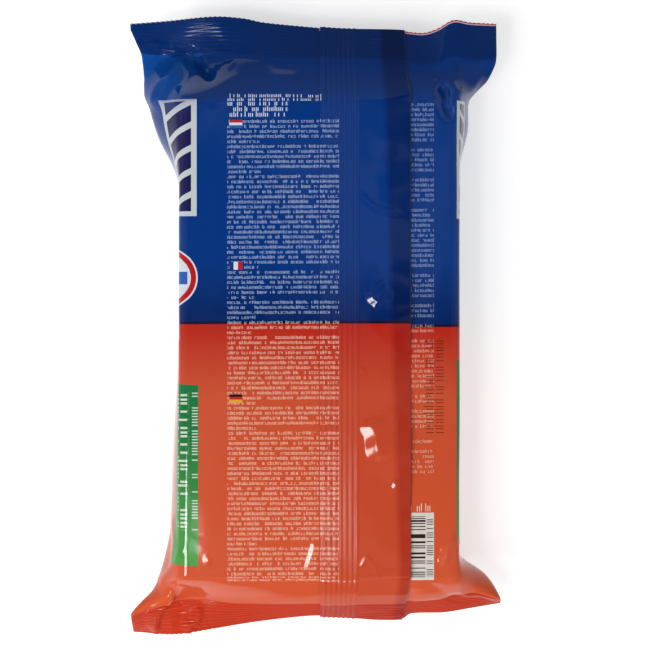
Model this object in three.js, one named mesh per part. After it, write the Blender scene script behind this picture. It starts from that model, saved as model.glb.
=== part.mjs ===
// A sealed flow-wrap pack of wet wipes. It lies on its front, with the seam of its back facing up.
// One film is folded into a tube round the stack of wipes. Its two long edges are welded into a fin,
// which lies over to one side as a flap, and both ends are crimped into wavy strips whose corners
// stick out as ears. A thin label that can be peeled and pressed shut covers the opening in the front.
// x runs across the pack, y along it towards its top end, and z upwards, in millimetres.

import * as THREE from 'three';

// The wrapped stack
const PACK_WIDTH = 116;
const PACK_HEIGHT = 42;
const PACK_LENGTH = 196;
const EDGE_ROUNDING = 5; // how far the film takes to turn over a long edge
const BACK_CROWN = 1.2; // how much higher the back stands along its middle
const SIDE_BULGE = 1; // how far each side swells out halfway along
const SIDE_BOW = 1.3; // how round a side bows out towards an ear, where 1 is two flat faces

// The crimped end strips
const STRIP_WIDTH = 15.5;
const STRIP_THICKNESS = 0.8;
const STRIP_CRIMPS = 9; // ridges across a strip, side by side from its root to its cut edge
const CRIMP_DEPTH = 0.25;
const END_TURN = 4; // how far the film runs on past the stack before it slopes down
const TURN_SHARE = 0.6; // the most of a short slope that this takes
const STRIP_TURN = 3.5; // how far the slope takes to bend into the strip

// The fin of the back seam, laid over to the right
const FLAP_WIDTH = 37.6;
const FLAP_THICKNESS = 0.6;
const FLAP_GAP = 0.35; // air between the flap and the film beneath it
const FLAP_LIFT = 1.1; // how far the flap's free edge stands up where it waves most
const FLAP_WAVES = 3.5; // waves of that edge along the stack
const FLAP_TAPER = 2.3; // how far the free edge draws in at the bottom end
const WELD_START = 0.8; // from the root of the fin to the first ridge of its weld
const WELD_RIDGES = 7;
const WELD_PITCH = 2.2;
const WELD_DEPTH = 0.3;

// The print: a blue field towards the top end and a red one towards the bottom
const FIELD_LINE = 6.8; // how far the line between them lies above the middle of the stack
const BLUE = 0x143f86;
const RED = 0xc9502f;

// The label on the front
const LABEL_WIDTH = 62;
const LABEL_LENGTH = 112;
const LABEL_THICKNESS = 0.4;
const LABEL_CORNER = 9;
const TAB_WIDTH = 24;
const TAB_LENGTH = 9;
const TAB_CORNER = 6;

// How finely the film is cut into faces
const FIELD_STEPS = 8; // along each of the two fields of the stack
const FIELD_EASE = 1.4; // how much closer these lie towards the ends of the stack, from 1 for not at all
const SLOPE_STEPS = 8;
const UNDER_FLAP_STEPS = 5;
const BACK_STEPS = 6; // from the flap's free edge to the long edge of the pack
const SIDE_STEPS = 10;
const FRONT_STEPS = 4;
const FLAP_STEPS = 6;

const mix = THREE.MathUtils.lerp;
const clamp = THREE.MathUtils.clamp;

// Rises from 0 to 1, level at both ends
const smooth = (u) => u * u * (3 - 2 * u);

// A smooth curve through [place, value] points, which stays level past the first and the last
function through(points) {
  const last = points.length - 1;
  const slope = points.map((p, i) => {
    const [before, after] = [points[Math.max(i - 1, 0)], points[Math.min(i + 1, last)]];
    return (after[1] - before[1]) / (after[0] - before[0]);
  });
  return (place) => {
    if (place <= points[0][0]) return points[0][1];
    if (place >= points[last][0]) return points[last][1];
    const i = points.findIndex((p) => p[0] > place) - 1;
    const [[x0, y0], [x1, y1]] = [points[i], points[i + 1]];
    const u = (place - x0) / (x1 - x0);
    const lean = slope[i] * (1 - u) - slope[i + 1] * u;
    return mix(y0, y1, smooth(u)) + (x1 - x0) * u * (1 - u) * lean;
  };
}

const bezier = (a, b, c, d, u) =>
  (1 - u) ** 3 * a + 3 * (1 - u) ** 2 * u * b + 3 * (1 - u) * u ** 2 * c + u ** 3 * d;

// Rises from 0 to 1 and falls back to 0 once in each whole number
const zigzag = (turns) => 1 - Math.abs(2 * (turns - Math.floor(turns)) - 1);

// A bump that is 1 at its middle and 0 from its half width outwards
const bump = (distance, halfWidth) => Math.max(0, 1 - (distance / halfWidth) ** 2);

// Half of the film's way round the pack: from the middle of the back to the middle of the front
const HALF_ROUND = PACK_WIDTH + PACK_HEIGHT;
const HALF_STRIP = HALF_ROUND / 2;
const FRONT_PLANE = LABEL_THICKNESS;
const FIELD_STATION = FIELD_LINE / (PACK_LENGTH / 2);

// Each end, as it looks from above. Places across a strip run from -1 at its left end to 1 at its right.
// gather: the share of its flat width that a strip's left and right halves keep, for all their waves.
// edge: how far the cut edge lies past the stack. tilt: how steeply the strip rises, in degrees, or
// droops where it is negative. height: how far the strip's root lies above the middle of the pack.
// left and right: the ears, as [distance past the end of the stack, share of the ear's reach], from
// the first swelling outwards.
const TOP = {
  sign: 1,
  gather: [1.005, 0.947],
  edge: through([[-1, 33.4], [-0.82, 35.2], [-0.56, 37.3], [-0.4, 36.6], [-0.3, 35], [-0.05, 33.1], [0.12, 32],
    [0.45, 31.4], [0.58, 30.3], [0.66, 31.8], [0.75, 35.2], [0.84, 34.4], [1, 34.2]]),
  tilt: through([[-1, 44], [-0.75, 22], [-0.55, 6], [-0.3, -16], [0, -28], [0.4, -32], [0.6, -24],
    [0.745, -8], [1, -10]]),
  height: through([[-1, 1.5], [-0.8, -0.5], [-0.5, 5], [-0.3, 8.5], [0, 10.5], [0.4, 12], [0.6, 12.5],
    [0.745, 12.5], [1, 8]]),
  left: through([[-34, 0], [-25, 0.16], [-15, 0.42], [-5, 0.6], [5, 0.72], [21, 0.81], [26, 0.9], [31, 1]]),
  right: through([[-28, 0], [-21, 0.1], [-16, 0.19], [-10, 0.28], [1.5, 0.31], [3, 0.34], [6, 0.52],
    [9.5, 0.74], [13.5, 0.88], [17, 0.97], [21, 1]]),
};
const BOTTOM = {
  sign: -1,
  gather: [1.01, 0.98],
  edge: through([[-1, 27.2], [-0.8, 27.2], [-0.7, 26.6], [-0.57, 24.9], [-0.3, 21.4], [-0.05, 19.2], [0.1, 19.2],
    [0.45, 20.4], [0.5, 18.2], [0.68, 17.8], [0.84, 16], [1, 14.3]]),
  tilt: through([[-1, -62], [-0.85, -34], [-0.7, -20], [-0.43, -50], [0, -66], [0.45, -58], [0.52, -66],
    [0.84, -60], [1, -80]]),
  height: through([[-1, 1.5], [-0.84, 4], [-0.7, 4], [-0.5, 8], [0, 11], [0.5, 11], [0.8, 9], [1, 5]]),
  left: through([[-90, 0.03], [-40, 0.15], [-18, 0.2], [-8, 0.3], [2, 0.45], [8, 0.58], [13, 0.8], [18, 1]]),
  right: through([[-8, 0], [-5, 0.14], [0, 0.55], [3, 0.7], [7, 0.84], [11, 0.95], [14.5, 1]]),
};

// A film column is named by its way round from the middle of the back, left negative. This is where
// it lies across a strip, where the tube is pressed flat.
const flatPlace = (round) =>
  Math.abs(round) <= HALF_STRIP ? round : Math.sign(round) * (HALF_ROUND - Math.abs(round));

// Which face of a flattened strip a column lies on
const faceOf = (round) => (Math.abs(round) <= HALF_STRIP ? 0.5 : -0.5) * STRIP_THICKNESS;

// The root line of a strip and the way the strip leaves it, in the plane across the strip
function stripRoot(end, round) {
  const across = flatPlace(round) / HALF_STRIP;
  const angle = THREE.MathUtils.degToRad(end.tilt(across));
  const along = [Math.cos(angle), Math.sin(angle)];
  return {
    along,
    out: end.edge(across) - STRIP_WIDTH * along[0] - faceOf(round) * along[1],
    up: FRONT_PLANE + PACK_HEIGHT / 2 + end.height(across) + faceOf(round) * along[0],
  };
}

// How far out and how high a column runs beyond the stack, starting from the height it has there
function endProfile(round, end, level, slope, strip) {
  const root = stripRoot(end, round);
  const turn = Math.min(END_TURN, root.out * TURN_SHARE);
  if (strip === 0) {
    return [
      bezier(0, turn, root.out - STRIP_TURN * root.along[0], root.out, slope),
      bezier(level, level, root.up - STRIP_TURN * root.along[1], root.up, slope),
    ];
  }
  const run = strip * STRIP_WIDTH;
  const ridge = CRIMP_DEPTH * zigzag(strip * STRIP_CRIMPS);
  return [
    root.out + run * root.along[0] - ridge * root.along[1],
    root.up + run * root.along[1] + ridge * root.along[0],
  ];
}

// Where a column leaves the stack: its place across and its height, with square edges
function sectionPoint(round, end, flat, ear) {
  const crease = PACK_WIDTH / 2;
  const gather = end.gather[round < 0 ? 0 : 1];
  const place = Math.abs(flatPlace(round));
  const side = clamp((place - crease) / (PACK_HEIGHT / 2), 0, 1);
  const edgeX = crease * mix(1, gather, flat);
  const ridgeX = mix(crease, HALF_STRIP * gather, ear);
  const bow = mix(1 - (1 - side) ** SIDE_BOW, side, flat);
  const x = side > 0 ? mix(edgeX, ridgeX, bow) : (edgeX * place) / crease;
  const height = clamp(PACK_HEIGHT + crease - Math.abs(round), 0, PACK_HEIGHT);
  return [Math.sign(round) * x, FRONT_PLANE + height];
}

// The same point with the film turned softly over each edge
function softSection(round, end, flat, ear) {
  const turn = (EDGE_ROUNDING * (1 - flat)) / 2;
  const taps = [-1, -0.5, 0, 0.5, 1].map((k) => {
    const reach = Math.min(Math.abs(round) + k * turn, HALF_ROUND);
    return sectionPoint(Math.sign(round) * reach, end, flat, ear);
  });
  const sum = taps.reduce(([x, z], tap) => [x + tap[0], z + tap[1]], [0, 0]);
  return [sum[0] / taps.length, sum[1] / taps.length];
}

// A point of the film. The station runs from -3 at the cut bottom edge through -2 at that strip's
// root and -1 to 1 along the stack to 2 and 3 at the top end.
function filmPoint(round, station) {
  const end = station >= 0 ? TOP : BOTTOM;
  const away = Math.abs(station);
  const half = PACK_LENGTH / 2;
  if (away <= 1) {
    const along = station * half;
    const ear = (round < 0 ? end.left : end.right)(away * half - half);
    const [x, height] = softSection(round, end, 0, ear);
    const middle = 1 - station ** 4;
    const bulge = Math.sign(round) * SIDE_BULGE * bump(Math.abs(round) - HALF_STRIP, PACK_HEIGHT / 2);
    const crown = BACK_CROWN * bump(round, PACK_WIDTH / 2);
    return new THREE.Vector3(x + bulge * middle, along, height + crown * middle);
  }
  const slope = Math.min(away - 1, 1);
  const level = softSection(round, end, 0, 0)[1];
  const [out, up] = endProfile(round, end, level, slope, Math.max(away - 2, 0));
  const flat = smooth(slope);
  const [x] = softSection(round, end, flat, (round < 0 ? end.left : end.right)(out));
  return new THREE.Vector3(x, end.sign * (half + out), up);
}

const NORMAL_STEP = 0.02; // how far apart, in stations, a normal looks at the film

// A point of the flap, which follows the film beneath it: across is its distance from the seam, and
// rise how far it lies above that film, along the film's own normal.
function flapPoint(across, station, rise) {
  const taper = (FLAP_TAPER * clamp(-station - 1, 0, 2)) / 2;
  const reach = across / FLAP_WIDTH;
  const round = FLAP_GAP + across - reach * taper;
  const [from, to] = [-1, 1].map((way) => filmPoint(round, station + way * NORMAL_STEP));
  const normal = new THREE.Vector3(0, from.z - to.z, to.y - from.y).normalize();
  const onStack = clamp(2 - Math.abs(station), 0, 1);
  const wave = (1 + Math.sin(station * FLAP_WAVES * Math.PI)) / 2;
  const lift = FLAP_LIFT * wave * onStack * reach ** 3;
  return filmPoint(round, station).addScaledVector(normal, FLAP_GAP + lift + rise);
}

const steps = (from, to, count) =>
  Array.from({ length: count }, (_, i) => from + ((to - from) * i) / count);

// The film's columns, right of the seam round to the middle of the front and back on the left
function filmColumns() {
  const crease = PACK_WIDTH / 2 - EDGE_ROUNDING / 2;
  const lower = PACK_WIDTH / 2 + PACK_HEIGHT + EDGE_ROUNDING / 2;
  const right = [
    ...steps(FLAP_GAP, FLAP_WIDTH, UNDER_FLAP_STEPS),
    ...steps(FLAP_WIDTH, crease, BACK_STEPS),
    ...steps(crease, lower, SIDE_STEPS),
    ...steps(lower, HALF_ROUND, FRONT_STEPS),
  ];
  const left = [HALF_ROUND, ...right.slice(1).reverse(), FLAP_GAP].map((round) => -round);
  return [...right, ...left].map((round) => ({
    flat: [flatPlace(round), faceOf(round)],
    at: (station) => filmPoint(round, station),
  }));
}

const flapColumn = (across, rise) => ({
  flat: [FLAP_GAP + across, STRIP_THICKNESS / 2 + FLAP_GAP + rise],
  at: (station) => flapPoint(across, station, rise),
});

// The flap's upper columns, from its root over the ridges of the weld to its free edge
function flapOver() {
  const weldEnd = WELD_START + WELD_RIDGES * WELD_PITCH;
  const weld = Array.from({ length: 2 * WELD_RIDGES }, (_, i) => {
    const ridge = i % 2 ? WELD_DEPTH : 0;
    return flapColumn(WELD_START + (i * WELD_PITCH) / 2, FLAP_THICKNESS + ridge);
  });
  const loose = [...steps(weldEnd, FLAP_WIDTH, FLAP_STEPS), FLAP_WIDTH];
  return [
    flapColumn(0, FLAP_THICKNESS),
    ...weld,
    ...loose.map((across) => flapColumn(across, FLAP_THICKNESS)),
  ];
}

// The flap's lower columns, back from its free edge to its root
function flapUnder() {
  const places = [...steps(0, FLAP_WIDTH, FLAP_STEPS), FLAP_WIDTH].reverse();
  return places.map((across) => flapColumn(across, 0));
}

// The stations of the rings, from the cut bottom edge to the cut top edge
function ringStations() {
  const end = [...steps(1, 2, SLOPE_STEPS), ...steps(2, 3, 2 * STRIP_CRIMPS), 3];
  const bottom = end.slice(1).reverse().map((station) => -station);
  const fields = [
    ...steps(0, 1, FIELD_STEPS).map((u) => mix(-1, FIELD_STATION, u ** FIELD_EASE)),
    ...steps(0, 1, FIELD_STEPS).map((u) => mix(FIELD_STATION, 1, 1 - (1 - u) ** FIELD_EASE)),
  ];
  return [...bottom, ...fields, ...end];
}

// Fills the space between two chains of columns, each from left to right, the first above the second
function zipChains(upper, lower, place) {
  const triangles = [];
  let [i, j] = [0, 0];
  while (i < upper.length - 1 || j < lower.length - 1) {
    const lowerDone = j === lower.length - 1;
    const upperLeft = i < upper.length - 1;
    if (lowerDone || (upperLeft && place(upper[i + 1]) <= place(lower[j + 1]))) {
      triangles.push([upper[i], upper[i + 1], lower[j]]);
      i += 1;
    } else {
      triangles.push([lower[j + 1], lower[j], upper[i]]);
      j += 1;
    }
  }
  return triangles;
}

// The cut edge of a strip: the film's two layers, then the flap on top of them
function capTriangles(columns, filmCount, overCount) {
  const place = (i) => columns[i].flat[0];
  const indices = columns.map((_, i) => i);
  const film = indices.slice(0, filmCount).sort((a, b) => place(a) - place(b));
  const onBack = (i) => columns[i].flat[1] > 0;
  const over = [filmCount - 1, ...indices.slice(filmCount, filmCount + overCount)];
  const under = [0, ...indices.slice(filmCount + overCount).reverse()];
  return [
    ...zipChains(film.filter(onBack), film.filter((i) => !onBack(i)), place),
    ...zipChains(over, under, place),
  ];
}

// Joins the rings into one closed surface and closes its two ends
function buildFilm() {
  const [film, over, under] = [filmColumns(), flapOver(), flapUnder()];
  const columns = [...film, ...over, ...under];
  const stations = ringStations();
  const count = columns.length;
  const positions = stations.flatMap((w) => columns.flatMap((column) => column.at(w).toArray()));
  const cap = capTriangles(columns, film.length, over.length);
  const lastRing = (stations.length - 1) * count;
  const index = cap.flatMap(([a, b, c]) => [a, c, b]);
  for (let row = 0; row < stations.length - 1; row += 1) {
    for (let i = 0; i < count; i += 1) {
      const [a, b] = [row * count + i, row * count + ((i + 1) % count)];
      index.push(a, b, a + count, b, b + count, a + count);
    }
  }
  index.push(...cap.flat().map((i) => lastRing + i));
  const geometry = new THREE.BufferGeometry();
  geometry.setAttribute('position', new THREE.Float32BufferAttribute(positions, 3));
  geometry.setIndex(index);
  geometry.computeVertexNormals();
  const redEnd = 3 * cap.length + 6 * count * stations.indexOf(FIELD_STATION);
  geometry.addGroup(0, redEnd, 0);
  geometry.addGroup(redEnd, index.length - redEnd, 1);
  return geometry;
}

// The label: a rounded rectangle with a tab to lift it by, towards the pack's top end
function buildLabel() {
  const [half, top, tab] = [LABEL_WIDTH / 2, LABEL_LENGTH / 2, TAB_WIDTH / 2];
  const tip = top + TAB_LENGTH;
  const shape = new THREE.Shape();
  shape.moveTo(-half + LABEL_CORNER, -top);
  shape.lineTo(half - LABEL_CORNER, -top);
  shape.absarc(half - LABEL_CORNER, -top + LABEL_CORNER, LABEL_CORNER, -Math.PI / 2, 0, false);
  shape.absarc(half - LABEL_CORNER, top - LABEL_CORNER, LABEL_CORNER, 0, Math.PI / 2, false);
  shape.lineTo(tab, top);
  shape.absarc(tab - TAB_CORNER, tip - TAB_CORNER, TAB_CORNER, 0, Math.PI / 2, false);
  shape.absarc(-tab + TAB_CORNER, tip - TAB_CORNER, TAB_CORNER, Math.PI / 2, Math.PI, false);
  shape.lineTo(-tab, top);
  shape.absarc(-half + LABEL_CORNER, top - LABEL_CORNER, LABEL_CORNER, Math.PI / 2, Math.PI, false);
  shape.absarc(-half + LABEL_CORNER, -top + LABEL_CORNER, LABEL_CORNER, Math.PI, 1.5 * Math.PI, false);
  return new THREE.ExtrudeGeometry(shape, { depth: LABEL_THICKNESS, bevelEnabled: false, curveSegments: 8 });
}

const printedFilm = (color) => new THREE.MeshStandardMaterial({ color, roughness: 0.22, metalness: 0 });
const film = new THREE.Mesh(buildFilm(), [printedFilm(RED), printedFilm(BLUE)]);
film.name = 'film_pack';

const label = new THREE.Mesh(
  buildLabel(),
  new THREE.MeshStandardMaterial({ color: 0xe9edf0, roughness: 0.35, metalness: 0 }),
);
label.name = 'reseal_label';

// The pack's frame has its origin under the middle of its whole length and width
const pack = new THREE.Group();
pack.add(film, label);
const middle = new THREE.Box3().setFromObject(film).getCenter(new THREE.Vector3());
film.position.set(-middle.x, -middle.y, 0);
label.position.set(-middle.x, -middle.y, 0);

export default pack;
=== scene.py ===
# A sealed flow-wrap pack of wet wipes, lying on its front and seen from straight above.
# The pouch is one printed film, so its shape repeats the film of the CAD part at a finer step, with
# the folds, crumples and crimps that the film shows.

from functools import partial, reduce
import bpy
import numpy as np
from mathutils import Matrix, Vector


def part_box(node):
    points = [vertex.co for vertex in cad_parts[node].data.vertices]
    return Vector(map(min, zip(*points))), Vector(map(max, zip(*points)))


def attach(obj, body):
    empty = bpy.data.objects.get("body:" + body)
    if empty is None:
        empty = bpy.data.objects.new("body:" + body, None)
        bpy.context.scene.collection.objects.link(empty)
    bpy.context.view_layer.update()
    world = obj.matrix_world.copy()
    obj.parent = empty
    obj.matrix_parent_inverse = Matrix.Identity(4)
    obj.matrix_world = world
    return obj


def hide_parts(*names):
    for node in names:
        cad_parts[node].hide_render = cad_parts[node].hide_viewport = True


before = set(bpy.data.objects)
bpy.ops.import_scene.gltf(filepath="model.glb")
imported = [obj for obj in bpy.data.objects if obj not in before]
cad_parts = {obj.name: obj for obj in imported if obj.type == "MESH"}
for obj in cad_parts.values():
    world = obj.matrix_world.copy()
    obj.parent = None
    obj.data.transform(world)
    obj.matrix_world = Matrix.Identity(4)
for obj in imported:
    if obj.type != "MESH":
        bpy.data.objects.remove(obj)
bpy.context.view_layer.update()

# The wrapped stack, in millimetres as in the CAD part
PACK_WIDTH = 116
PACK_HEIGHT = 42
PACK_LENGTH = 196
EDGE_ROUNDING = 5
ROUNDING_TAPS = 9  # how many places of the square section a place of the rounded one averages
BACK_CROWN = 1.2
SIDE_BULGE = 1
SIDE_BOW = 1.3
LEVEL_STACK = 4  # how long the crown and bulge stay full before they fade towards the stack's ends

# The crimped end strips
STRIP_WIDTH = 15.5
STRIP_THICKNESS = 0.3
STRIP_CRIMPS = 9
TOOTH_DEPTH = 0.6
END_TURN = 4
TURN_SHARE = 0.6
STRIP_TURN = 3.5
TOP_SLOPE = 25  # how much film lies on each slope between the stack and a strip
BOTTOM_SLOPE = 24

# The fin of the back seam, laid over to the right
FLAP_WIDTH = 37.6
FLAP_THICKNESS = 0.25
FLAP_GAP = 0.35
FLAP_LIFT = 1.1
FLAP_WAVES = 3.5
FLAP_TAPER = 2.3
WELD_START = 0.8
WELD_RIDGES = 7
WELD_PITCH = 2.2
WELD_DEPTH = 0.34
NORMAL_STEP = 0.02  # how far apart, in stations, a normal looks at the film

HALF_ROUND = PACK_WIDTH + PACK_HEIGHT
HALF_STRIP = HALF_ROUND / 2
HALF_LENGTH = PACK_LENGTH / 2
FRONT_PLANE = 0.4  # the label's thickness, on which the pack lies
LABEL_HALF_LENGTH = 56  # from the middle of the stack to the label's end without the tab

# The film that the print's coordinates cover, round the pack and from end to end
PRINT_ROUND = 2 * HALF_ROUND
PRINT_LENGTH = 300
LONG_STEP = 0.05  # between two columns of a piece that aren't neighbours on the film
EDGE_STEP = 0.5 / PRINT_ROUND

# The pieces' columns and rings
COLUMN = 1.0
SLOPE_RINGS = 24
CRIMP_RINGS = 6
POUCH_RINGS = 144
FLAP_RINGS = 240
WELD_COLUMNS = 8
LOOSE_COLUMNS = 40

# The crumples of the pouch's ends and the bottom strip's left end, where its crimps came loose
STACK_FADE = 0.12
STRIP_FADE = 0.2
HELD_FLAT = 0.93
LOOSE_MIDDLE = -62
LOOSE_HALF = 24
LOOSE_SHARE = 0.5
CRIMPS_LOST = 0.8
FLAP_LOOSENS = 8  # how far past its weld the fin takes to wave in full

# How a fold's ridge strays along its length and how soon it reaches its full height
STRAY = 0.14
STRAY_PACE = 9
STRAY_SHIFT = 2
RISE_PACE = 5


def smooth(u):
    """Rises from 0 to 1, level at both ends."""
    return u * u * (3 - 2 * u)


def through(points):
    """A smooth curve through [place, value] points, level past the first and the last."""
    place, value = np.array(points, float).T
    i = np.arange(len(place))
    before, after = np.maximum(i - 1, 0), np.minimum(i + 1, len(place) - 1)
    slope = (value[after] - value[before]) / (place[after] - place[before])

    def curve(x):
        x = np.clip(x, place[0], place[-1])
        k = np.clip(np.searchsorted(place, x, side="right") - 1, 0, len(place) - 2)
        gap = place[k + 1] - place[k]
        u = (x - place[k]) / gap
        lean = slope[k] * (1 - u) - slope[k + 1] * u
        return value[k] + (value[k + 1] - value[k]) * smooth(u) + gap * u * (1 - u) * lean

    return curve


def mix(a, b, u):
    return a + (b - a) * u


def bezier(a, b, c, d, u):
    return (1 - u) ** 3 * a + 3 * (1 - u) ** 2 * u * b + 3 * (1 - u) * u ** 2 * c + u ** 3 * d


def bump(distance, half_width):
    """A bump that is 1 at its middle and 0 from its half width outwards."""
    return np.maximum(0, 1 - (distance / half_width) ** 2)


def ridge(turns):
    """Rises from 0 to 1 and falls back in each whole turn."""
    return 0.5 - 0.5 * np.cos(2 * np.pi * turns)


TOP = {
    "sign": 1,
    "crimps": 0.08,
    "gather": [1.005, 0.947],
    "edge": through([[-1, 33.4], [-0.82, 35.2], [-0.56, 37.3], [-0.4, 36.6], [-0.3, 35], [-0.05, 33.1],
                     [0.12, 32], [0.45, 31.4], [0.58, 30.3], [0.66, 31.8], [0.75, 35.2],
                     [0.84, 34.4], [1, 34.2]]),
    "tilt": through([[-1, 44], [-0.75, 22], [-0.55, 6], [-0.3, -16], [0, -28], [0.4, -32],
                     [0.6, -24], [0.745, -8], [1, -10]]),
    "height": through([[-1, 1.5], [-0.8, -0.5], [-0.5, 5], [-0.3, 8.5], [0, 10.5], [0.4, 12],
                       [0.6, 12.5], [0.745, 12.5], [1, 8]]),
    "left": through([[-34, 0], [-25, 0.16], [-15, 0.42], [-5, 0.6], [5, 0.72], [21, 0.81],
                     [26, 0.9], [31, 1]]),
    "right": through([[-28, 0], [-21, 0.1], [-16, 0.19], [-10, 0.28], [1.5, 0.31], [3, 0.34],
                      [6, 0.52], [9.5, 0.74], [13.5, 0.88], [17, 0.97], [21, 1]]),
}
BOTTOM = {
    "sign": -1,
    "crimps": 0.4,
    "gather": [1.01, 0.98],
    "edge": through([[-1, 27.2], [-0.8, 27.2], [-0.7, 26.6], [-0.57, 24.9], [-0.3, 21.4], [-0.05, 19.2],
                     [0.1, 19.2], [0.45, 20.4], [0.5, 18.2], [0.68, 17.8], [0.84, 16], [1, 14.3]]),
    "tilt": through([[-1, -62], [-0.85, -34], [-0.7, -20], [-0.43, -50], [0, -66], [0.45, -58],
                     [0.52, -66], [0.84, -60], [1, -80]]),
    "height": through([[-1, 1.5], [-0.84, 4], [-0.7, 4], [-0.5, 8], [0, 11], [0.5, 11], [0.8, 9],
                       [1, 5]]),
    "left": through([[-90, 0.03], [-40, 0.15], [-18, 0.2], [-8, 0.3], [2, 0.45], [8, 0.58],
                     [13, 0.8], [18, 1]]),
    "right": through([[-8, 0], [-5, 0.14], [0, 0.55], [3, 0.7], [7, 0.84], [11, 0.95], [14.5, 1]]),
}


def flat_place(around):
    """Where a column of the film lies across a strip, where the tube is pressed flat."""
    past = np.sign(around) * (HALF_ROUND - np.abs(around))
    return np.where(np.abs(around) <= HALF_STRIP, around, past)


def end_profile(around, end, level, slope, strip):
    """How far out and how high a column runs beyond the stack."""
    across = flat_place(around) / HALF_STRIP
    angle = np.radians(end["tilt"](across))
    face = np.where(np.abs(around) <= HALF_STRIP, 0.5, -0.5) * STRIP_THICKNESS
    root_out = end["edge"](across) - STRIP_WIDTH * np.cos(angle) - face * np.sin(angle)
    root_up = FRONT_PLANE + PACK_HEIGHT / 2 + end["height"](across) + face * np.cos(angle)
    turn = np.minimum(END_TURN, root_out * TURN_SHARE)
    out = bezier(0, turn, root_out - STRIP_TURN * np.cos(angle), root_out, slope)
    up = bezier(level, level, root_up - STRIP_TURN * np.sin(angle), root_up, slope)
    run = strip * STRIP_WIDTH
    crimp = end["crimps"] * ridge(strip * STRIP_CRIMPS)
    out = np.where(strip > 0, root_out + run * np.cos(angle) - crimp * np.sin(angle), out)
    up = np.where(strip > 0, root_up + run * np.sin(angle) + crimp * np.cos(angle), up)
    return out, up


def section_point(around, gather, flat, ear):
    """Where a column leaves the stack: its place across and its height, with square edges."""
    crease = PACK_WIDTH / 2
    place = np.abs(flat_place(around))
    side = np.clip((place - crease) / (PACK_HEIGHT / 2), 0, 1)
    edge_x = crease * mix(1, gather, flat)
    ridge_x = mix(crease, HALF_STRIP * gather, ear)
    bow = mix(1 - (1 - side) ** SIDE_BOW, side, flat)
    x = np.where(side > 0, mix(edge_x, ridge_x, bow), edge_x * place / crease)
    height = np.clip(PACK_HEIGHT + crease - np.abs(around), 0, PACK_HEIGHT)
    return np.sign(around) * x, FRONT_PLANE + height


def soft_section(around, gather, flat, ear):
    """The same point with the film turned softly over each edge."""
    turn = EDGE_ROUNDING * (1 - flat) / 2
    total_x, total_z = 0, 0
    taps = np.linspace(-1, 1, ROUNDING_TAPS)
    for k in taps:
        reach = np.minimum(np.abs(around) + k * turn, HALF_ROUND)
        x, z = section_point(np.sign(around) * reach, gather, flat, ear)
        total_x = total_x + x
        total_z = total_z + z
    return total_x / len(taps), total_z / len(taps)


def film_end(around, away, end):
    """Points of the film on one half of the pack. Away runs from 0 at the middle of the stack
    through 1 where it ends and 2 at the strip's root to 3 at its cut edge."""
    left = around < 0
    gather = np.where(left, end["gather"][0], end["gather"][1])
    beyond = away * HALF_LENGTH - HALF_LENGTH
    ear = np.where(left, end["left"](beyond), end["right"](beyond))
    x, z = soft_section(around, gather, 0 * away, ear)
    middle = 1 - np.minimum(away, 1) ** LEVEL_STACK
    crown = BACK_CROWN * bump(around, PACK_WIDTH / 2)
    bulge = np.sign(around) * SIDE_BULGE * bump(np.abs(around) - HALF_STRIP, PACK_HEIGHT / 2)
    stack = x + bulge * middle, away * HALF_LENGTH, z + crown * middle

    slope = np.clip(away - 1, 0, 1)
    level = soft_section(around, gather, 0 * away, 0 * away)[1]
    out, up = end_profile(around, end, level, slope, np.clip(away - 2, 0, 1))
    ear = np.where(left, end["left"](out), end["right"](out))
    x_end = soft_section(around, gather, smooth(slope), ear)[0]
    on_stack = away <= 1
    points = [np.where(on_stack, a, b) for a, b in zip(stack, (x_end, HALF_LENGTH + out, up))]
    points[1] = end["sign"] * points[1]
    return np.stack(points, -1)


def film_points(around, station):
    top = film_end(around, np.maximum(station, 0), TOP)
    bottom = film_end(around, np.maximum(-station, 0), BOTTOM)
    return np.where((station >= 0)[..., None], top, bottom)


def normals_of(points):
    """The outward normal at each point of a grid of columns and rings."""
    along = np.gradient(points, axis=0)
    across = np.gradient(points, axis=1)
    normal = np.cross(across, along)
    return normal / np.maximum(np.linalg.norm(normal, axis=-1, keepdims=True), 1e-9)


def ring_stations(stack_rings):
    strip = np.linspace(2, 3, STRIP_CRIMPS * CRIMP_RINGS + 1)
    slope = np.linspace(1, 2, SLOPE_RINGS + 1)[:-1]
    end = np.concatenate([slope, strip])
    return np.concatenate([-end[::-1], np.linspace(-1, 1, stack_rings + 1)[1:-1], end])


def print_length(station):
    """How far along the film a station lies from the middle of the stack, in millimetres."""
    away = np.abs(station)
    slope = np.where(station > 0, TOP_SLOPE, BOTTOM_SLOPE)
    reach = np.minimum(away, 1) * HALF_LENGTH + np.clip(away - 1, 0, 1) * slope
    return np.sign(station) * (reach + np.clip(away - 2, 0, 1) * STRIP_WIDTH)


def seeded_noise(shape, cells, seed):
    """Smooth noise from -1 to 1 over a grid, with so many cells each way."""
    rng = np.random.default_rng(seed)
    knots = rng.uniform(-1, 1, (cells[0] + 2, cells[1] + 2))
    y = np.linspace(0, cells[0], shape[0], endpoint=False)
    x = np.linspace(0, cells[1], shape[1], endpoint=False)
    iy, ix = y.astype(int), x.astype(int)
    fy, fx = smooth(y - iy)[:, None], smooth(x - ix)[None, :]
    upper = mix(knots[iy][:, ix], knots[iy][:, ix + 1], fx)
    lower = mix(knots[iy + 1][:, ix], knots[iy + 1][:, ix + 1], fx)
    return mix(upper, lower, fy)


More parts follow.
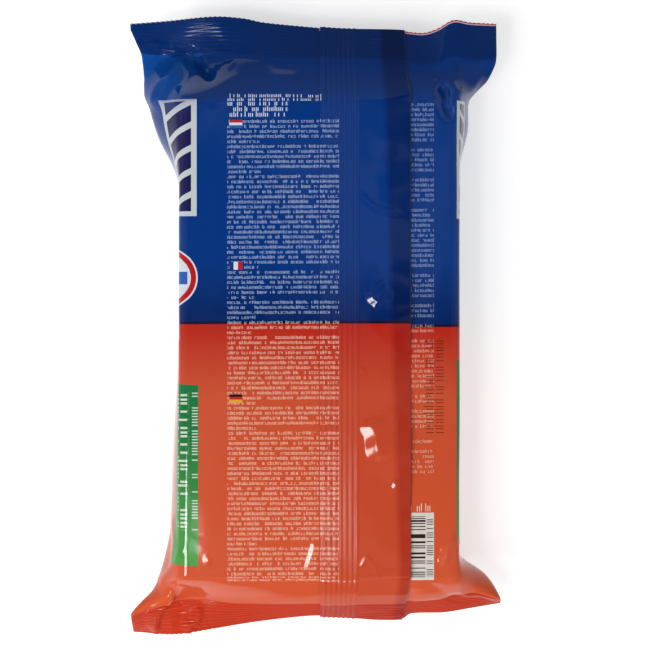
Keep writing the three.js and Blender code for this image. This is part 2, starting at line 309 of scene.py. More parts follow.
def loft(name, points, around, length):
    """A closed tube in metres from rings of points in the pack's millimetres, each ring's first half
    over its second half. Its corners keep where they lie on the film, as OFBake."""
    rings, columns = points.shape[:2]
    vertex = np.arange(rings * columns).reshape(rings, columns)
    near, far = vertex[:-1], vertex[1:]
    side = np.stack([near, np.roll(near, -1, 1), np.roll(far, -1, 1), far], -1).reshape(-1, 4)
    u = 0.5 + around / PRINT_ROUND
    v = 0.5 + length / PRINT_LENGTH
    step = np.roll(u, -1) - u
    step = np.where(np.abs(step) > LONG_STEP, EDGE_STEP, step)
    side_u = np.broadcast_to(np.stack([u, u + step, u + step, u], -1), (rings - 1, columns, 4))
    side_v = np.stack([v[:-1], v[:-1], v[1:], v[1:]], -1)[:, None]
    side_v = np.broadcast_to(side_v, (rings - 1, columns, 4))
    faces = [side]
    places = [np.stack([side_u, side_v], -1).reshape(-1, 2)]
    over = np.arange(columns // 2 - 1)
    under = columns - 1 - over
    pairs = np.stack([over, over + 1, under - 1, under], -1)
    for ring, order in ((0, [3, 2, 1, 0]), (rings - 1, [0, 1, 2, 3])):
        pair = pairs[:, order]
        faces.append(vertex[ring][pair])
        cap_u = np.broadcast_to(u[over][:, None], pair.shape)
        places.append(np.stack([cap_u, np.full(pair.shape, v[ring])], -1).reshape(-1, 2))
    quads = np.concatenate(faces)
    metres = (points.reshape(-1, 3) + STACK_MIDDLE) / 1000
    mesh = bpy.data.meshes.new(name)
    mesh.from_pydata(metres.tolist(), [], quads.tolist())
    mesh.uv_layers.new(name="OFBake").data.foreach_set("uv", np.concatenate(places).ravel())
    mesh.polygons.foreach_set("use_smooth", [True] * len(quads))
    mesh.update()
    piece = bpy.data.objects.new(name, mesh)
    bpy.context.scene.collection.objects.link(piece)
    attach(piece, "root")
    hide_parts("film_pack")
    return piece


def beside(x, y, line):
    """How far each place lies from a line of corners, more than 0 on its left, and how far along it."""
    nearest = np.full(x.shape, 1e9)
    signed = np.zeros(x.shape)
    along = np.zeros(x.shape)
    for i, ((x0, y0), (x1, y1)) in enumerate(zip(line, line[1:])):
        dx, dy = x1 - x0, y1 - y0
        u = np.clip(((x - x0) * dx + (y - y0) * dy) / (dx * dx + dy * dy), 0, 1)
        away_x, away_y = x - x0 - u * dx, y - y0 - u * dy
        gap = np.hypot(away_x, away_y)
        closer = gap < nearest
        along = np.where(closer, (i + u) / (len(line) - 1), along)
        signed = np.where(closer, np.where(dx * away_y - dy * away_x > 0, gap, -gap), signed)
        nearest = np.minimum(nearest, gap)
    return signed, along


# Ridges and creases of the pouch by where they lie as seen from above, in millimetres from the middle
# of the stack: the corners of the line, its height, and how wide its left and right flanks are.
FOLDS = [
    # top left
    ([(-77.5, 125.5), (-73, 124.5), (-65, 123), (-55.5, 122.5), (-48, 120.5), (-40, 118)], -0.5, 1.5, 1.5),
    ([(-71, 95.5), (-56, 121.5)], 2.6, 9, 5),
    ([(-67.5, 96), (-62.5, 106.5), (-58.5, 118)], 0.5, 1.5, 1.5),
    ([(-44.5, 107), (-50, 116), (-53, 121)], -1.3, 2.5, 3),
    ([(-73, 126), (-70.5, 125), (-68, 126.5), (-64, 124.5)], 0.5, 1, 1),
    ([(-62.5, 124.5), (-60.5, 122.5)], 0.4, 1, 1),
    ([(-40, 116.5), (-37.5, 112.5), (-36, 117)], 0.3, 1, 1),
    ([(-49.5, 103), (-35, 107.5), (-17, 109.5), (-3, 103.5)], 1, 9, 9),
    # top right
    ([(44, 107), (50, 114.5), (52.5, 123), (54, 131)], 0.7, 1.6, 1),
    ([(44, 107.5), (44.5, 127)], 0.3, 1, 1),
    ([(54.5, 90), (53.5, 99), (50.5, 107.5)], -3, 4.5, 1.5),
    ([(51, 106.5), (57, 102), (64, 105), (70, 111)], 0.9, 4, 2),
    ([(46, 96), (46.5, 101), (50.5, 108)], 0.8, 3, 2.5),
    # bottom left
    ([(-70.5, -126), (-67.5, -118.5), (-64, -111.5), (-60.5, -104.5)], 2, 5.5, 1),
    ([(-55.5, -125.5), (-52, -119.5), (-48, -112)], 1.6, 4.5, 1),
    ([(-63, -125), (-62, -120), (-59, -117)], 0.6, 1.5, 0.8),
    ([(-60, -113.5), (-56, -112), (-53, -113.5)], 0.5, 1.2, 1.2),
    ([(-67.5, -106), (-61.5, -96), (-55.5, -85.5)], 0.8, 2.5, 1),
    ([(-61.5, -95), (-60.5, -84), (-61.5, -72.5)], 0.5, 1.5, 1.5),
    ([(-47, -91), (-45, -93)], 0.4, 1, 1),
    ([(-5, -98), (-3, -90), (-1, -83)], 0.4, 1.6, 1.6),
    # bottom right
    ([(51.5, -94.5), (53, -87), (58, -82.5)], 1.6, 2.5, 2),
    ([(58, -106.5), (67, -107.5), (76.5, -109.5)], 0.7, 2, 1.5),
    ([(42, -99.5), (52.5, -106.5), (64, -111)], -0.5, 3, 3),
]
FLAP_FOLDS = [
    ([(25.5, 13), (20, 21.5)], 0.56, 3.2, 7),
    ([(27, -51.5), (20, -32.5)], 0.78, 5.2, 9),
    ([(18, -14.5), (17.5, -12)], 0.2, 1.5, 2),
    ([(29.5, -18), (29, -16)], 0.2, 1.5, 2),
    ([(32, -63), (31.5, -58.5)], 0.3, 2, 3),
    ([(16, -69.5), (15, -65.5)], 0.25, 1.5, 2.5),
    ([(15.5, -97.5), (19.5, -90), (22.5, -94), (27.5, -96.5), (36.5, -96)], 0.25, 1, 1),
    ([(27, -104.5), (24.5, -99), (22.5, -94)], 0.2, 1, 1),
    ([(15, 61), (19.5, 57), (26, 53), (35, 51)], 0.2, 2, 2),
]


def relief_at(points, folds):
    """How far the folds raise the film at each of the points."""
    x, y = points[..., 0], points[..., 1]
    relief = np.zeros(x.shape)
    for i, (line, height, left, right) in enumerate(folds):
        gap, along = beside(x, y, line)
        gap = gap + STRAY * left * np.sin(STRAY_PACE * along + STRAY_SHIFT * i)
        ends = smooth(np.minimum(1, np.minimum(along, 1 - along) * RISE_PACE))
        flank = np.maximum(0, 1 - np.where(gap > 0, gap / left, -gap / right))
        relief += height * ends * flank
    return relief


def undulation(shape, layers, seed):
    """Layers of smooth noise over a grid, each with its cells along and across and its height."""
    return sum(height * seeded_noise(shape[:2], (along, across), seed + i)
               for i, (along, across, height) in enumerate(layers))


def build_pouch():
    half = np.arange(-HALF_STRIP + COLUMN / 2, HALF_STRIP, COLUMN)
    around = np.concatenate([half, np.where(half[::-1] > 0, 1, -1) * HALF_ROUND - half[::-1]])
    station = ring_stations(POUCH_RINGS)
    points = film_points(*np.meshgrid(around, station))
    on_back = np.abs(around) <= HALF_STRIP
    away = np.abs(station)[:, None]
    on_stack = np.clip(1 + STACK_FADE - away, 0, STACK_FADE) / STACK_FADE
    in_strip = np.clip(away - 2 + STRIP_FADE, 0, STRIP_FADE) / STRIP_FADE
    relief = relief_at(points, FOLDS) * on_back
    relief += undulation(points.shape, ((14, 14, 0.16), (34, 40, 0.05)), 3) * on_stack
    # the crimps hold the strips flat, but for the bottom one's left end, which is crumpled
    crumple = undulation(points.shape, ((40, 20, 0.3), (110, 60, 0.07)), 8)
    loose = LOOSE_SHARE * bump(around - LOOSE_MIDDLE, LOOSE_HALF) * (station < 0)[:, None]
    relief += crumple * (1 - on_stack) * (1 - in_strip * (HELD_FLAT - loose))
    # its own crimps are shallower
    crimp = BOTTOM["crimps"] * ridge(np.clip(-station - 2, 0, 1) * STRIP_CRIMPS)
    relief -= crimp[:, None] * CRIMPS_LOST * loose * on_back
    points = points + normals_of(points) * relief[..., None]
    tooth = TOOTH_DEPTH * (np.floor(flat_place(around)) % 2)
    points[0, :, 1] += tooth
    points[-1, :, 1] -= tooth
    return loft("pouch_film", points, around, print_length(station))


def flap_points(across, station, rise):
    taper = FLAP_TAPER * np.clip(-station - 1, 0, 2) / 2
    reach = across / FLAP_WIDTH
    around = FLAP_GAP + across - reach * taper
    step = film_points(around, station + NORMAL_STEP) - film_points(around, station - NORMAL_STEP)
    normal = np.stack([0 * across, -step[..., 2], step[..., 1]], -1)
    normal /= np.linalg.norm(normal, axis=-1, keepdims=True)
    on_stack = np.clip(2 - np.abs(station), 0, 1)
    wave = (1 + np.sin(station * FLAP_WAVES * np.pi)) / 2
    lift = FLAP_LIFT * wave * on_stack * reach ** 3
    return film_points(around, station) + normal * (FLAP_GAP + lift + rise)[..., None]


def build_flap():
    weld_end = WELD_START + WELD_RIDGES * WELD_PITCH
    weld = np.arange(0, weld_end, WELD_PITCH / WELD_COLUMNS)
    half = np.concatenate([weld, np.linspace(weld_end, FLAP_WIDTH, LOOSE_COLUMNS)])
    across = np.concatenate([half, half[::-1]])
    upper = np.arange(len(across)) < len(half)
    station = ring_stations(FLAP_RINGS)
    grid_across, grid_station = np.meshgrid(across, station)
    in_weld = (grid_across > WELD_START) & (grid_across < weld_end)
    welds = WELD_DEPTH * ridge((grid_across - WELD_START) / WELD_PITCH) * in_weld
    waves = undulation((len(station), len(half)), ((22, 3, 0.22), (52, 8, 0.05)), 21)
    loose = np.clip((across - weld_end) / FLAP_LOOSENS, 0, 1)
    rise = np.where(upper, FLAP_THICKNESS + welds, 0)
    rise = rise + np.concatenate([waves, waves[:, ::-1]], 1) * loose
    points = flap_points(grid_across, grid_station, rise)
    points[..., 2] += relief_at(points, FLAP_FOLDS) + relief_at(points, FOLDS)
    return loft("fin_flap", points, np.where(upper, across, -across), print_length(station))


label_low, label_high = (np.array(corner) * 1000 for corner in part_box("reseal_label"))
STACK_MIDDLE = np.array([(label_low[0] + label_high[0]) / 2, label_low[1] + LABEL_HALF_LENGTH, 0])

pouch = build_pouch()
flap = build_flap()


# The print, in millimetres of film: across from the middle of the back, and along from the middle of
# the stack. A place is left, right, low and high.
FIELD_LINE = 6.8
FIELD_LINE_HALF = 0.55
BLUE_DEEPENS = 26
RED_LIGHTENS = 30
LOW_RED = (-30, -95, 0, 0.7)
NEXT_PACK = 138.65  # where the neighbouring pack's print begins, with a white line
WHITE_LINE = 0.5
SLIP = -1.7  # how far the print has slipped along the film by the time it comes round to the seam

# pale panel over each long edge, with plain slanting blocks
EDGE_PANELS = [(-68, -50.7, 51, 100.5), (57.4, 68, 51, 100.5)]
EDGE_BLOCKS = [(-66, -53, 53, 98.8), (59.6, 66, 53, 98.8)]
BLOCK_PITCH = 9.6
BLOCK_SLANT = 0.5
BLOCK_SHARES = (0.16, 0.88)

# green band round the sides, sloping a little
BAND_SIDES = [(-66, -50), (57.4, 75)]
BAND_LOW, BAND_HIGH = -96.8, -21.8
BAND_SLOPE = 11.6 / 206
BAND_LIGHTENS = (-40, -95)

BADGE_MIDDLE = (-62, 25.5, 0)
BADGE_RADIUS = 11.8
BADGE_RING = (8.9, 11.1)
BADGE_BLOCK = (-63, -54.5, 22.8, 28)

# print: the pitch of its rows and of its strokes, and the shares of these that a stroke fills
FINE_PRINT = (2.08, 1.07, 0.48, 0.17)
BOLD_PRINT = (2.3, 1.55, 0.66, 0.26)
TEXT_LEFT = -38.1
TEXT_LOW, TEXT_HIGH = -103, 91
FLAP_TEXT_RIGHT = 7.8
HEADINGS = [(-13, 91.9, 98.4), (0.5, 98.7, 103)]
SIDE_TEXT = (2, 47.4, -55, 99)
SIDE_TEXT_INK = 0.7
FULL_ROWS, FULL_SIDE_ROWS = 0.9, 0.85
MOST_CUT = 0.7  # the most of its width that a short row lacks

# rows of plain strokes: if they run up the pack, how far they are shifted, the measures of their print,
# their place, how dense the ink is, and its colour
STROKE_ROWS = [
    # the green band's two
    (True, 0, 1.3, (6.1, 3.4, 0.75, 0.26), (-60.4, -54.6, -79, -22), 1, "#c9d8c4"),
    (True, 0, 0, (3.85, 2.4, 0.68, 0.2), (-54, -50.2, -79, -22), 1, "#c9d8c4"),
    # the ink-jet one
    (True, 0, 47.4, (4.1, 2.7, 0.8, 0.14), (43.3, 51.6, -38, 1), 0.75, "#3a1418"),
    # those above and beside the bars
    (False, 61.25, 70.2, (4, 1.75, 0.62, 0.2), (30, 47.4, -70, -66.5), 0.85, "#ecd2c2"),
    (True, 0, 47.2, (3, 1.8, 0.9, 0.2), (44.5, 47.2, -98.5, -72), 1, "#2a1a1c"),
]
BARS_GROUND = (15, 47.5, -100, -70.5)
BARS = (15, 44, -98.5, -72)
BAR_PITCH = 0.42
BAR_GAPS = 0.52

# three small panels of three colours each: their top, the colours, and if these stand side by side
SMALL_PANELS = [
    (90.7, ("#bb2027", "#d5dbe2", "#2b55a5"), False),
    (32, ("#1c3a80", "#d5dbe2", "#bb2027"), True),
    (-22.8, ("#1a1410", "#bb2027", "#d9a321"), False),
]
SMALL_PANEL_LEFT = -37.2
SMALL_PANEL_WIDTH = 5.4
SMALL_PANEL_HEIGHT = 3.3

# A stroke's place in its cell, the share of cells that lack each stroke, and how much taller some are
STROKES_LEFT, STROKES_RIGHT = 0.08, 0.8
NO_LEFT, NO_RIGHT = 0.2, 0.35
NO_TOP, NO_MIDDLE, NO_FOOT = 0.3, 0.55, 0.35
BLANK_CELLS = 0.13
SHORT_STROKES = 0.7
TALLER = 0.42
BAR_TO_STEM = 0.75

# Where the random draws of the rows' ends and of the bars are taken, clear of each other
ROW_END_DRAWS = 7
BAR_DRAWS = 3

# Where the film changes, as fades from none to full: its sides by how far round they lie from the
# middle of the back, and its ends by how far along from the middle of the stack
SIDES = (56, 60)
LEFT_GUSSET = (-50, -58)
CRUMPLED_ENDS = (105, 120)
DULL_ENDS = (120, 123)
# where the top slope's painted light and shade and the end strips' painted shade fade in
TOP_SLOPE_PAINTED_LIGHT_AND_SHADE = (92, 112)
TOP_STRIP_PAINTED_SHADE = (121, 124)
BOTTOM_STRIP_PAINTED_SHADE = (-120, -122)
GUSSET_END = 123
FIN_SHADE_EDGE = (-100, 100, 33, 27)  # along the fin, how far out it is left unshaded before the painted shade of its outer part begins
FIN_SHADE_FADE = (-1.5, 1.5)

# A Mix node's sockets for two colours and what comes of them
MIX_UNDER, MIX_OVER, MIXED = 6, 7, 2


def colour(hex_code):
    """A written sRGB colour as the linear one that Blender works with."""
    parts = [int(hex_code[i:i + 2], 16) / 255 for i in (1, 3, 5)]
    return [c / 12.92 if c <= 0.04045 else ((c + 0.055) / 1.055) ** 2.4 for c in parts] + [1]


def put(tree, kind, inputs=(), out=0, **settings):
    """Adds a node with its settings, fills or links its inputs, and returns one of its outputs."""
    node = tree.nodes.new("ShaderNode" + kind)
    for name, value in settings.items():
        setattr(node, name, value)
    for key, value in inputs.items() if isinstance(inputs, dict) else enumerate(inputs):
        if isinstance(value, bpy.types.NodeSocket):
            tree.links.new(value, node.inputs[key])
        else:
            node.inputs[key].default_value = value
    return node.outputs[out] if node.outputs else None


def new_material(name):
    material = bpy.data.materials.new(name)
    material.use_nodes = True
    material.node_tree.nodes.clear()
    return material, material.node_tree


class Print:
    """Artwork laid over a film, ink by ink, and painted light and shade laid over it in the same way."""

    def __init__(self, tree, across, along, ground):
        self.put = partial(put, tree)
        self.across = across
        self.along = along
        self.ink = colour(ground)

    def lay(self, mask, hex_code, blend="MIX"):
        """Prints an ink where a mask is 1, or tints what is printed there."""
        inputs = {0: mask, MIX_UNDER: self.ink, MIX_OVER: colour(hex_code)}
        self.ink = self.put("Mix", inputs, out=MIXED, data_type="RGBA", blend_type=blend)

    def all_of(self, *masks):
        return reduce(lambda a, b: self.put("Math", [a, b], operation="MULTIPLY"), masks)

    def any_of(self, *masks):
        return reduce(lambda a, b: self.put("Math", [a, b], operation="MAXIMUM"), masks)

    def between(self, place, low, high):
        span = [place, (low + high) / 2, (high - low) / 2]
        return self.put("Math", span, operation="COMPARE")

    def box(self, left, right, low, high):
        return self.all_of(self.between(self.across, left, right), self.between(self.along, low, high))

    def random(self, x, y, layer=0):
        """Four random numbers for each whole x and y."""
        place = self.put("CombineXYZ", [x, y, layer])
        noise = self.put("TexWhiteNoise", {"Vector": place}, noise_dimensions="3D")
        parts = self.put("SeparateColor", [noise.node.outputs["Color"]])
        return [noise, *parts.node.outputs[:3]]

    def glyphs(self, x, y, pitch, letter, rise, stem, barred=False):
        """Rows of plain strokes at random heights, which stand in for print. Fine print, too small to
        read, has bars between them as well. Rise is the share of a row that a short stroke fills,
        and stem its share of a cell's width."""
        row = self.put("Math", [y, pitch], operation="DIVIDE")
        line = self.put("Math", [row], operation="FLOOR")
        up = self.put("Math", [row], operation="FRACT")
        up = self.put("Math", [up, rise], operation="DIVIDE")
        column = self.put("Math", [x, letter], operation="DIVIDE")
        cell = self.put("Math", [column], operation="FLOOR")
        along = self.put("Math", [column], operation="FRACT")
        blank, left, right, top = self.random(cell, line, 1)
        height, middle, foot, _ = self.random(cell, line, 2)
        tall = self.put("Math", [height, SHORT_STROKES], operation="GREATER_THAN")
        head = self.put("Math", [tall, TALLER, 1], operation="MULTIPLY_ADD")
        strokes = [
            (left, NO_LEFT, self.between(along, STROKES_LEFT, STROKES_LEFT + stem),
             self.put("Math", [up, head], operation="LESS_THAN")),
            (right, NO_RIGHT, self.between(along, STROKES_RIGHT - stem, STROKES_RIGHT),
             self.put("Math", [up, 1], operation="LESS_THAN")),
        ]
        if barred:
            bar = BAR_TO_STEM * stem * letter / (pitch * rise)
            width = self.between(along, STROKES_LEFT, STROKES_RIGHT)
            for draw, lacking, low in ((top, NO_TOP, 1 - bar), (middle, NO_MIDDLE, (1 - bar) / 2),
                                       (foot, NO_FOOT, 0)):
                strokes.append((draw, lacking, width, self.between(up, low, low + bar)))
        drawn = []
        for draw, lacking, width, span in strokes:
            there = self.put("Math", [draw, lacking], operation="GREATER_THAN")
            drawn.append(self.all_of(there, width, span))
        seen = self.put("Math", [blank, BLANK_CELLS], operation="GREATER_THAN")
        return self.all_of(self.any_of(*drawn), seen)

    def ragged(self, pitch, left, right, full):
        """Where rows that start at the left have print, if a share of them runs to the full width."""
        row = self.put("Math", [self.along, pitch], operation="DIVIDE")
        line = self.put("Math", [row], operation="FLOOR")
        chance, amount = self.random(line, ROW_END_DRAWS)[:2]
        short = self.put("Math", [chance, full], operation="GREATER_THAN")
        cut = self.all_of(short, amount, MOST_CUT * (right - left))
        end = self.put("Math", [right, cut], operation="SUBTRACT")
        return self.put("Math", [self.across, end], operation="LESS_THAN")

    def column(self, fine, left, right, low, high, full):
        """A column of fine print with a ragged right edge."""
        return self.all_of(fine, self.box(left, right, low, high),
                           self.ragged(FINE_PRINT[0], left, right, full))


def lay_edges(art, way):
    """The panels, the green band and the badge, which lie over the pack's long edges."""
    art.lay(art.any_of(*(art.box(*place) for place in EDGE_PANELS)), "#c4ccd0")
    out = art.put("Math", [art.across], operation="ABSOLUTE")
    slanted = art.put("Math", [out, BLOCK_SLANT, art.along], operation="MULTIPLY_ADD")
    turn = art.put("Math", [slanted, BLOCK_PITCH], operation="DIVIDE")
    block = art.between(art.put("Math", [turn], operation="FRACT"), *BLOCK_SHARES)
    inside = art.any_of(*(art.box(*place) for place in EDGE_BLOCKS))
    art.lay(art.all_of(inside, block), "#1f1b52")

    lifted = art.put("Math", [way, -BAND_SLOPE, art.along], operation="MULTIPLY_ADD")
    sides = art.any_of(*(art.between(art.across, *side) for side in BAND_SIDES))
    band = art.all_of(sides, art.between(lifted, BAND_LOW, BAND_HIGH))
    lighter = art.put("MapRange", [art.along, *BAND_LIGHTENS, 0, 1])
    art.lay(band, "#0f7438")
    art.lay(art.all_of(band, lighter), "#4f9a45")

    place = art.put("CombineXYZ", [art.across, art.along])
    radius = art.put("VectorMath", [place, BADGE_MIDDLE], out="Value", operation="DISTANCE")
    art.lay(art.put("Math", [radius, BADGE_RADIUS], operation="LESS_THAN"), "#d3dae3")
    art.lay(art.between(radius, *BADGE_RING), "#b51c20")
    art.lay(art.box(*BADGE_BLOCK), "#2a5cb0")


def lay_strokes(art):
    """The bars, and the rows of plain strokes over the green band and beside the fin."""
    art.lay(art.box(*BARS_GROUND), "#d9cfc6")
    bar = art.put("Math", [art.along, BAR_PITCH], operation="DIVIDE")
    bar = art.put("Math", [bar], operation="FLOOR")
    black = art.put("Math", [art.random(bar, BAR_DRAWS)[0], BAR_GAPS], operation="GREATER_THAN")
    art.lay(art.all_of(art.box(*BARS), black), "#2a1a1c")
    inward = art.put("Math", [art.across, -1], operation="MULTIPLY")
    for turned, shift_x, shift_y, print_size, place, density, ink in STROKE_ROWS:
        x, y = (art.along, inward) if turned else (art.across, art.along)
        x = art.put("Math", [x, shift_x], operation="ADD")
        y = art.put("Math", [y, shift_y], operation="ADD")
        art.lay(art.all_of(art.glyphs(x, y, *print_size), art.box(*place), density), ink)


def lay_small_panels(art):
    for top, inks, side_by_side in SMALL_PANELS:
        for i, ink in enumerate(inks):
            wide, high = SMALL_PANEL_WIDTH, SMALL_PANEL_HEIGHT
            left, low = SMALL_PANEL_LEFT, top - high
            if side_by_side:
                wide /= len(inks)
                left += i * wide
            else:
                high /= len(inks)
                low = top - (i + 1) * high
            art.lay(art.box(left, left + wide, low, low + high), ink)


def film_print(tree, across, length, on_flap):
    """The print on the film: a blue field over a red one, with fine print and plain panels, and painted
    light and shade over it on the top slope, the end strips and the fin's outer part.
    """
    turned = put(tree, "Math", [across, 0], operation="GREATER_THAN")
    turned = put(tree, "Math", [turned, PRINT_ROUND], operation="MULTIPLY")
    way = put(tree, "Math", [turned, across], operation="SUBTRACT")
    slip = 0 if on_flap else SLIP / PRINT_ROUND
    along = put(tree, "Math", [way, -slip, length], operation="MULTIPLY_ADD")
    art = Print(tree, across, along, "#063680")

    # the blue deepens towards the line between the fields, and the red beyond it lightens to orange
    light_red, low_red = ("#c4472a", "#c64c2b") if on_flap else ("#c9502f", "#d25530")
    on_blue = art.put("Math", [along, FIELD_LINE], operation="GREATER_THAN")
    on_red = art.put("Math", [along, FIELD_LINE], operation="LESS_THAN")
    art.lay(art.put("MapRange", [along, FIELD_LINE + BLUE_DEEPENS, FIELD_LINE, 0, 1]), "#02215e")
    art.lay(on_red, "#b52218")
    art.lay(art.put("MapRange", [along, FIELD_LINE, FIELD_LINE - RED_LIGHTENS, 0, 1]), light_red)
    art.lay(art.put("MapRange", [along, *LOW_RED]), low_red)
    art.lay(art.between(along, FIELD_LINE - FIELD_LINE_HALF, FIELD_LINE + FIELD_LINE_HALF), "#1c0d2c")
    # the neighbouring pack's red field shows beyond a white line, where the print has slipped
    art.lay(art.put("Math", [along, NEXT_PACK], operation="GREATER_THAN"), "#c9d3dc")
    art.lay(art.put("Math", [along, NEXT_PACK + WHITE_LINE], operation="GREATER_THAN"), "#b3242c")
    if not on_flap:
        lay_edges(art, way)

    fine = art.glyphs(across, along, *FINE_PRINT, barred=True)
    bold = art.glyphs(across, along, *BOLD_PRINT)
    text_right = FLAP_TEXT_RIGHT if on_flap else 0
    text = art.column(fine, TEXT_LEFT, text_right, TEXT_LOW, TEXT_HIGH, FULL_ROWS)
    if not on_flap:
        side_text = art.column(fine, *SIDE_TEXT, FULL_SIDE_ROWS)
        text = art.any_of(text, art.all_of(side_text, SIDE_TEXT_INK))
    art.lay(art.all_of(text, on_blue), "#a3b8da")
    art.lay(art.all_of(text, on_red), "#eec2ab")
    for right, low, high in HEADINGS:
        art.lay(art.all_of(bold, art.box(TEXT_LEFT, min(text_right, right), low, high)), "#c3d0e6")
    if not on_flap:
        lay_strokes(art)
    lay_small_panels(art)

    # painted light and shade: the top slope's left gusset painted lighter, as if lit from the left, and
    # the rest of that slope, the end strips and the fin's outer part painted darker
    slope = art.put("MapRange", [length, *TOP_SLOPE_PAINTED_LIGHT_AND_SHADE, 0, 1])
    lit_gusset = art.put("MapRange", [across, *LEFT_GUSSET, 0, 1])
    beside = art.put("MapRange", [across, *LEFT_GUSSET[::-1], 0, 1])
    short = art.put("Math", [length, GUSSET_END], operation="LESS_THAN")
    # painted light on the left gusset, and painted shade on the slope beside it
    art.lay(art.all_of(slope, lit_gusset, short), "#0e4c9c")
    art.lay(art.all_of(slope, beside), "#fff3f1", "MULTIPLY")
    # painted shade on the top and bottom end strips
    art.lay(art.put("MapRange", [length, *TOP_STRIP_PAINTED_SHADE, 0, 1]), "#ffd7d7", "MULTIPLY")
    art.lay(art.put("MapRange", [length, *BOTTOM_STRIP_PAINTED_SHADE, 0, 1]), "#ecaa95", "MULTIPLY")
    # painted shade on the fin's outer part, towards its free edge
    if on_flap:
        shade_edge = art.put("MapRange", [length, *FIN_SHADE_EDGE])
        past = art.put("Math", [across, shade_edge], operation="SUBTRACT")
        art.lay(art.put("MapRange", [past, *FIN_SHADE_FADE, 0, 1]), "#e1bcc4", "MULTIPLY")
    return art.ink


def printed_film(name, on_flap):
    """Reverse-printed polypropylene laminated to polyethylene, straight off the roll: a hard gloss
    over flat ink, which shows every wrinkle as a bright line and little else."""
    material, tree = new_material(name)
    place = put(tree, "UVMap", uv_map="OFBake")
    place = put(tree, "VectorMath", [place, (0.5, 0.5, 0)], operation="SUBTRACT")
    place = put(tree, "VectorMath", [place, (PRINT_ROUND, PRINT_LENGTH, 0)], operation="MULTIPLY")
    across, length = put(tree, "SeparateXYZ", [place]).node.outputs[:2]
    round_from_back = put(tree, "Math", [across], operation="ABSOLUTE")
    from_middle = put(tree, "Math", [length], operation="ABSOLUTE")
    # the crumpled film of the sides and ends mirrors less of the white round it
    side = put(tree, "MapRange", [round_from_back, *SIDES, 0, 1])
    end = put(tree, "MapRange", [from_middle, *CRUMPLED_ENDS, 0, 1])
    crumpled = put(tree, "Math", [side, end], operation="MAXIMUM")
    # the film's slack waves, one each 17 mm or so
    place = put(tree, "TexCoord", out="Object")
    waves = put(tree, "TexNoise", {"Vector": place, "Scale": 60, "Detail": 3})
    shader = put(tree, "BsdfPrincipled", {
        "Base Color": film_print(tree, across, length, on_flap),
        "Roughness": put(tree, "MapRange", [from_middle, *DULL_ENDS, 0.08, 0.12]),
        "IOR": 1.45,
        "Specular IOR Level": put(tree, "MapRange", [crumpled, 0, 1, 0.5, 0.2]),
        "Normal": put(tree, "Bump", {"Strength": 0.15, "Distance": 0.0006, "Height": waves}),
    })
    put(tree, "OutputMaterial", [shader])
    return material


def label_stock():
    """White polypropylene label stock under a satin varnish, with a faint orange peel."""
    material, tree = new_material("label_stock")
    place = put(tree, "TexCoord", out="Object")
    peel = put(tree, "TexNoise", {"Vector": place, "Scale": 300})
    shader = put(tree, "BsdfPrincipled", {
        "Base Color": colour("#e9edf0"),
        "Roughness": 0.35,
        "IOR": 1.5,
        "Normal": put(tree, "Bump", {"Strength": 0.1, "Distance": 0.0002, "Height": peel}),
    })
    put(tree, "OutputMaterial", [shader])
    return material


pouch.data.materials.append(printed_film("printed_film_pouch", False))
flap.data.materials.append(printed_film("printed_film_fin", True))
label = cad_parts["reseal_label"]
label.data.materials.clear()
label.data.materials.append(label_stock())


# The stage
FLOOR_SIZE = 6
FLOOR_BELOW = 0.0002
FLOOR_LIGHT = 0.5  # what the floor adds of its own to its shaded colour, where it is seen or mirrored
SKY_LIGHT = 0.3  # how much the world lights the pack
SKY_PATCHES = (0.44, 0.54, 0.03, 0.28)

# What a film that faces one way mirrors: the axis, where it fades in and is full, and how bright it is
PANELS = [
    (1, 0.16, 0.22, 0.02), (1, 0.34, 0.38, 0.25), (1, -0.2, -0.3, 0.05), (1, -0.42, -0.46, 0.95),
    (1, -0.55, -0.58, 0.1), (1, -0.63, -0.66, 0.85), (1, -0.76, -0.8, 0.08), (0, -0.5, -0.7, 0.5),
    (0, 0.5, 0.7, 0.5), (2, 0.04, 0, 1),
]
LOW_RIGHT_FROM_X = (-0.02, 0.05)
LOW_RIGHT_FROM_Y = (-0.36, -0.42)
LOW_RIGHT_LIGHT = 0.3

CAMERA_PLACE = (0.0036, 0.00075, 1.0936)
CAMERA_SENSOR = 36
CAMERA_LENS = 140.7


def any_ray(tree, *kinds):
    """1 for light on its way to the camera by any of these kinds of ray, and 0 otherwise."""
    rays = [put(tree, "LightPath", out="Is %s Ray" % kind) for kind in kinds]
    return reduce(lambda a, b: put(tree, "Math", [a, b], operation="MAXIMUM"), rays)


def floor_finish():
    """Matt white board, which keeps the pack's shadow and otherwise shows as white."""
    material, tree = new_material("floor_finish")
    shade = put(tree, "BsdfDiffuse", [colour("#e8e8e8")])
    seen = any_ray(tree, "Camera", "Glossy", "Transmission")
    own = put(tree, "Math", [seen, FLOOR_LIGHT], operation="MULTIPLY")
    light = put(tree, "Emission", [colour("#ffffff"), own])
    put(tree, "OutputMaterial", [put(tree, "AddShader", [shade, light])])
    return material


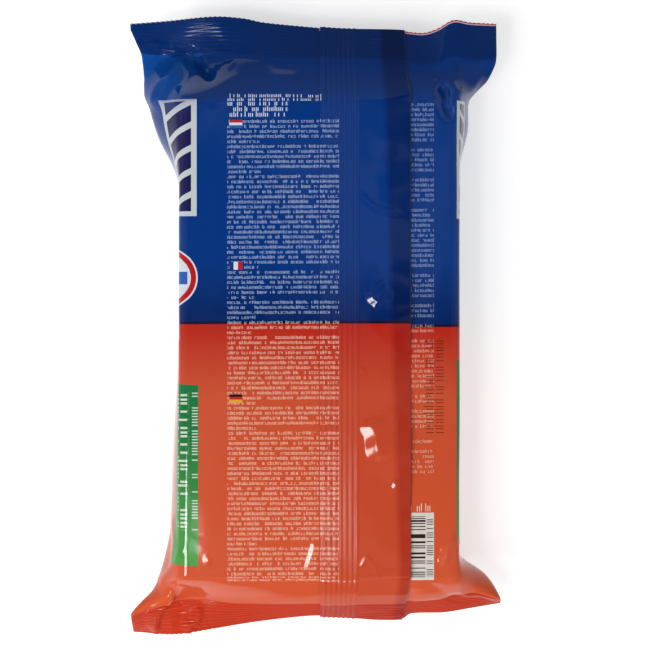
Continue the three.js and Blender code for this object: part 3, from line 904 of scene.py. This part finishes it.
def studio_world():
    """Soft light from all round. The film mirrors dim patches and the panels, and past the pack all is
    white."""
    world = bpy.data.worlds.new("studio")
    world.use_nodes = True
    tree = world.node_tree
    tree.nodes.clear()
    direction = put(tree, "TexCoord", out="Generated")
    axes = put(tree, "SeparateXYZ", [direction]).node.outputs
    patches = put(tree, "TexNoise", {"Vector": direction, "Scale": 9, "Detail": 1})
    sky = put(tree, "MapRange", [patches, *SKY_PATCHES])
    for axis, start, full, brightness in PANELS:
        share = put(tree, "MapRange", [axes[axis], start, full, 0, 1])
        sky = put(tree, "Mix", {"Factor": share, "A": sky, "B": brightness})
    right = put(tree, "MapRange", [axes[0], *LOW_RIGHT_FROM_X, 0, 1])
    low = put(tree, "MapRange", [axes[1], *LOW_RIGHT_FROM_Y, 0, 1])
    share = put(tree, "Math", [right, low], operation="MULTIPLY")
    sky = put(tree, "Mix", {"Factor": share, "A": sky, "B": LOW_RIGHT_LIGHT})
    level = put(tree, "Mix", {"Factor": any_ray(tree, "Glossy"), "A": SKY_LIGHT, "B": sky})
    level = put(tree, "Mix", {"Factor": any_ray(tree, "Camera", "Transmission"), "A": level, "B": 1})
    put(tree, "OutputWorld", [put(tree, "Background", [colour("#ffffff"), level])])
    return world


def softbox(name, place, size, power, mirrored):
    """A square lamp that faces the pack. Sizes are in metres."""
    data = bpy.data.lights.new(name, "AREA")
    data.shape = "SQUARE"
    data.size = size
    data.energy = power
    lamp = bpy.data.objects.new(name, data)
    lamp.location = place
    lamp.rotation_euler = (-Vector(place)).to_track_quat("-Z", "Y").to_euler()
    lamp.visible_glossy = mirrored
    bpy.context.scene.collection.objects.link(lamp)


bpy.ops.mesh.primitive_plane_add(size=FLOOR_SIZE, location=(0, 0, -FLOOR_BELOW))
floor = bpy.context.object
floor.name = "floor"
floor.data.materials.append(floor_finish())
bpy.context.scene.world = studio_world()

# the broad lamps only light the pack, and the film mirrors the world's panels and the two small lamps
softbox("key", (-0.75, -0.55, 1.05), 1.1, 11, False)
softbox("fill", (0.75, -0.25, 1.0), 0.9, 3, False)
softbox("glint", (-0.33, -0.24, 1.35), 0.19, 2.3, True)
softbox("low_glint", (-0.69, -0.98, 0.72), 0.12, 2.4, True)

camera_data = bpy.data.cameras.new("camera")
camera_data.sensor_width = CAMERA_SENSOR
camera_data.lens = CAMERA_LENS
camera = bpy.data.objects.new("camera", camera_data)
camera.location = CAMERA_PLACE
bpy.context.scene.collection.objects.link(camera)
bpy.context.scene.camera = camera
bpy.context.scene.view_settings.view_transform = "Standard"
